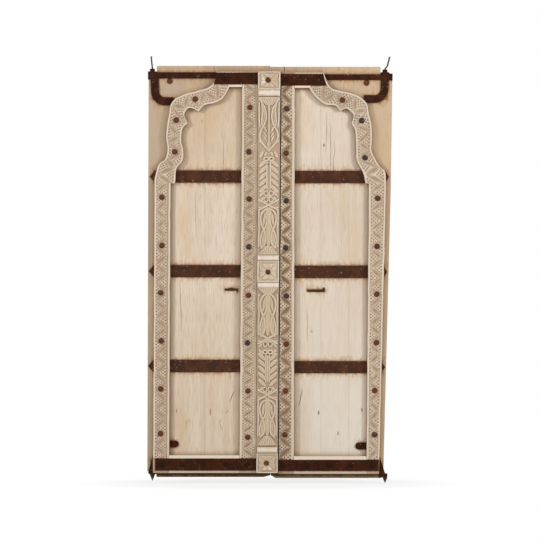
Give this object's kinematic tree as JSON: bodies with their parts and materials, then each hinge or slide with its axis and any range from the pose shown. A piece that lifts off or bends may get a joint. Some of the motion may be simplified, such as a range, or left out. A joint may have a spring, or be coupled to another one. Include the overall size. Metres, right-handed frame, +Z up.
{
  "type": "carved double-leaf panel door",
  "caption": "Pair of carved and planked timber door leaves with cusped arch heads, iron straps, dome nails and pivot pins.",
  "frame": {"origin": "on the line where the two leaves meet, at the boards' front face, level with the foot of the left leaf's boards", "axes": "+X across the pair towards the right leaf, +Y from the carved front into the building, +Z up along the leaves"},
  "size_m": [1.0789, 0.107, 1.8802],
  "materials": {
    "board_wood": "dry, bare, pale weathered timber",
    "carved_wood": "dry, bare, greyed carved timber",
    "ledge_wood": "dry, bare, sawn timber",
    "strap_iron": "dark brown rusted wrought iron",
    "forged_iron": "near-black rusted wrought iron",
    "nail_iron": "rubbed and rusted forged nail heads",
    "pivot_steel": "worn grey-brown wrought iron"
  },
  "bodies": {
    "pivot_pins": {"left_foot_spike": "pivot_steel", "left_top_pin": "pivot_steel", "right_foot_spike": "pivot_steel", "right_top_pin": "pivot_steel"},
    "left_leaf": {"astragal": "carved_wood", "astragal_nails": "nail_iron", "left_arch_bracket": "carved_wood", "left_bottom_rail": "carved_wood", "left_bottom_strap": "strap_iron", "left_dome_nails": "nail_iron", "left_foot_iron": "forged_iron", "left_inner_stile": "carved_wood", "left_latch_staple": "forged_iron", "left_ledge_lower": "ledge_wood", "left_ledge_middle": "ledge_wood", "left_ledge_nails": "nail_iron", "left_ledge_upper": "ledge_wood", "left_outer_stile": "carved_wood", "left_plank_meeting": "board_wood", "left_plank_middle": "board_wood", "left_plank_outer": "board_wood", "left_strap_lower": "strap_iron", "left_strap_middle": "strap_iron", "left_strap_nails": "nail_iron", "left_strap_upper": "strap_iron", "left_top_iron": "forged_iron", "left_top_rail": "carved_wood", "left_top_strap": "strap_iron"},
    "right_leaf": {"right_arch_bracket": "carved_wood", "right_bottom_rail": "carved_wood", "right_bottom_strap": "strap_iron", "right_dome_nails": "nail_iron", "right_foot_iron": "forged_iron", "right_inner_stile": "carved_wood", "right_latch_staple": "forged_iron", "right_ledge_lower": "ledge_wood", "right_ledge_middle": "ledge_wood", "right_ledge_nails": "nail_iron", "right_ledge_upper": "ledge_wood", "right_outer_stile": "carved_wood", "right_plank_meeting": "board_wood", "right_plank_middle": "board_wood", "right_plank_outer": "board_wood", "right_strap_lower": "strap_iron", "right_strap_middle": "strap_iron", "right_strap_nails": "nail_iron", "right_strap_upper": "strap_iron", "right_top_iron": "forged_iron", "right_top_rail": "carved_wood", "right_top_strap": "strap_iron"}
  },
  "joints": [
    {"name": "right_leaf_swing", "type": "hinge", "parent": "pivot_pins", "child": "right_leaf", "pos_m": [0.504, 0.015, 0], "axis": [0, 0, -1], "range_deg": [0, 100]},
    {"name": "left_leaf_swing", "type": "hinge", "parent": "pivot_pins", "child": "left_leaf", "pos_m": [-0.52, 0.015, 0], "axis": [0, 0, -1], "range_deg": [-80, 0]}
  ],
  "couplings": [
    {"joint": "left_leaf_swing", "follows": "right_leaf_swing", "ratio": -0.8}
  ]
}
